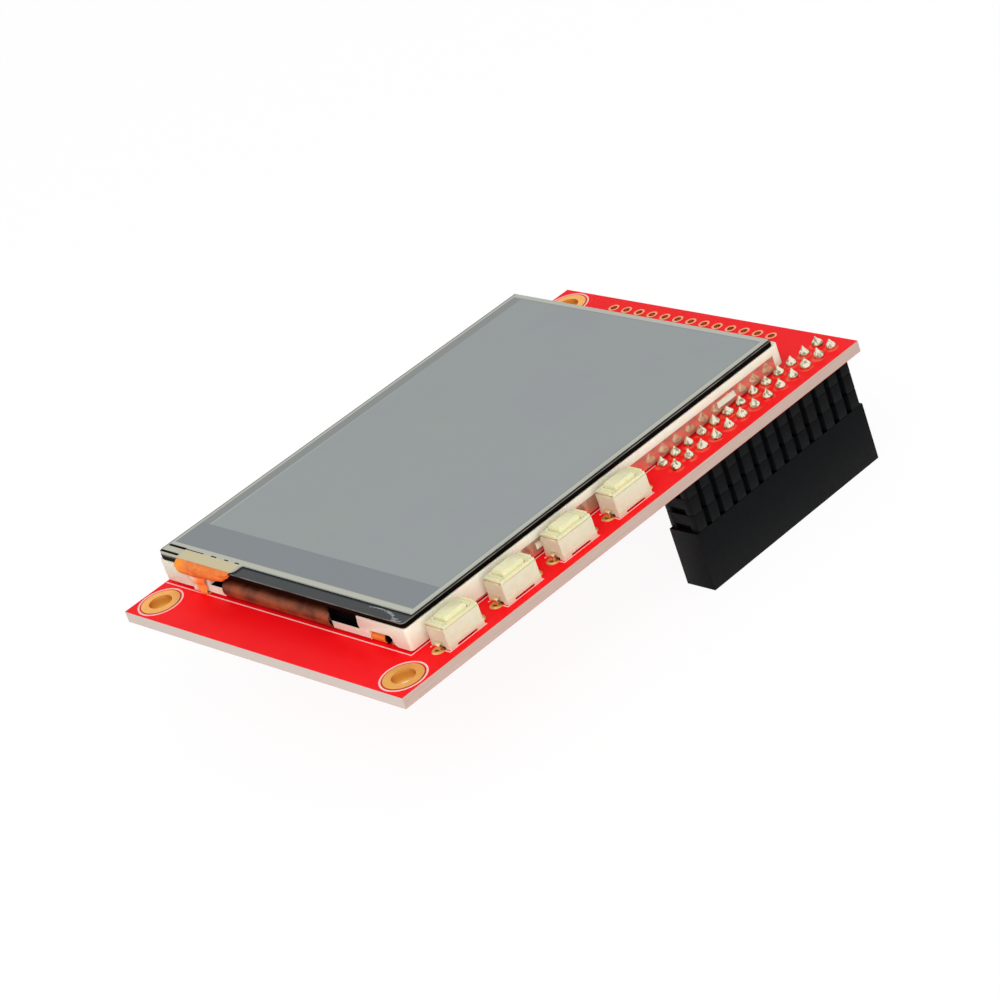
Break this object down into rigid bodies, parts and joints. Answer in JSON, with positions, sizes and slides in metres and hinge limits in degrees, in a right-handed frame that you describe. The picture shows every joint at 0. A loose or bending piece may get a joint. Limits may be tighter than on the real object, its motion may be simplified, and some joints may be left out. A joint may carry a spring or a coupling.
{
  "type": "touch display module",
  "caption": "Flat touch display on a red circuit board, with a row of side push buttons and a stacked socket underneath that plugs onto a two-row pin header.",
  "frame": {"origin": "middle of the circuit board's underside", "axes": "+X across the board from the bare side to the button side, +Y along the board towards the socket end, +Z out of the display"},
  "size_m": [0.056, 0.085, 0.0222],
  "materials": {
    "board_laminate": "glossy red solder mask over glass-fibre laminate",
    "gold_plating": "thin gold plating over copper",
    "header_plastic": "black moulded nylon",
    "contact_metal": "gold flashed",
    "solder": "bright tin solder",
    "foam_tape": "double sided foam tape",
    "tray_steel": "bright rolled stainless sheet",
    "frame_plastic": "off-white moulding",
    "reflector_film": "white mirror film",
    "clear_acrylic": "clear plate",
    "diffuser_film": "frosted film",
    "prism_film": "finely ridged clear film",
    "polyimide": "translucent amber film over copper",
    "lamp_resin": "pale yellow resin",
    "black_tape": "black adhesive tape",
    "polariser_film": "dark grey film",
    "cell_glass": "polished",
    "touch_glass": "polished, conductive coating",
    "silicon": "polished",
    "glue": "pale grey adhesive",
    "touch_film": "hard coated, faint anti-glare texture",
    "switch_plastic": "cream nylon",
    "cap_plastic": "pale yellow nylon",
    "spring_steel": "stainless spring sheet",
    "chip_moulding": "black epoxy",
    "tinned_metal": "tinned",
    "resistor_ceramic": "glazed black",
    "capacitor_ceramic": "unglazed tan"
  },
  "bodies": {
    "module": {"circuit_board": "board_laminate", "mounting_lands": "gold_plating", "spare_row_lands": "gold_plating", "header_socket": "header_plastic", "header_spacer_lower": "header_plastic", "header_spacer_middle": "header_plastic", "header_spacer_upper": "header_plastic", "header_contacts": "contact_metal", "header_solder": "solder", "mounting_tape": "foam_tape", "backing_tray": "tray_steel", "backlight_frame": "frame_plastic", "reflector_sheet": "reflector_film", "light_guide": "clear_acrylic", "diffuser_sheet": "diffuser_film", "prism_sheet_lower": "prism_film", "prism_sheet_upper": "prism_film", "lamp_flex": "polyimide", "lamps": "lamp_resin", "rim_tape": "black_tape", "rear_polariser": "polariser_film", "rear_glass": "cell_glass", "front_glass": "cell_glass", "front_polariser": "polariser_film", "driver_chip": "silicon", "display_ribbon": "polyimide", "ribbon_pads": "gold_plating", "panel_tape": "black_tape", "touch_glass": "touch_glass", "touch_rim": "glue", "touch_film": "touch_film", "touch_tail": "polyimide", "switch_case_1": "switch_plastic", "switch_case_2": "switch_plastic", "switch_case_3": "switch_plastic", "switch_case_4": "switch_plastic", "switch_cover_1": "switch_plastic", "switch_cover_2": "switch_plastic", "switch_cover_3": "switch_plastic", "switch_cover_4": "switch_plastic", "switch_dome_1": "spring_steel", "switch_dome_2": "spring_steel", "switch_dome_3": "spring_steel", "switch_dome_4": "spring_steel", "switch_leads": "contact_metal", "switch_solder": "solder", "touch_controller": "chip_moulding", "controller_legs": "tinned_metal", "board_resistors": "resistor_ceramic", "board_capacitors": "capacitor_ceramic"},
    "button_1": {"switch_cap_1": "cap_plastic"},
    "button_2": {"switch_cap_2": "cap_plastic"},
    "button_3": {"switch_cap_3": "cap_plastic"},
    "button_4": {"switch_cap_4": "cap_plastic"}
  },
  "joints": [
    {"name": "button_1_press", "type": "slide", "parent": "module", "child": "button_1", "axis": [0, 0, -1], "range_m": [0, 0.00025], "stiffness_N_per_m": 6400},
    {"name": "button_2_press", "type": "slide", "parent": "module", "child": "button_2", "axis": [0, 0, -1], "range_m": [0, 0.00025], "stiffness_N_per_m": 6400},
    {"name": "button_3_press", "type": "slide", "parent": "module", "child": "button_3", "axis": [0, 0, -1], "range_m": [0, 0.00025], "stiffness_N_per_m": 6400},
    {"name": "button_4_press", "type": "slide", "parent": "module", "child": "button_4", "axis": [0, 0, -1], "range_m": [0, 0.00025], "stiffness_N_per_m": 6400}
  ]
}
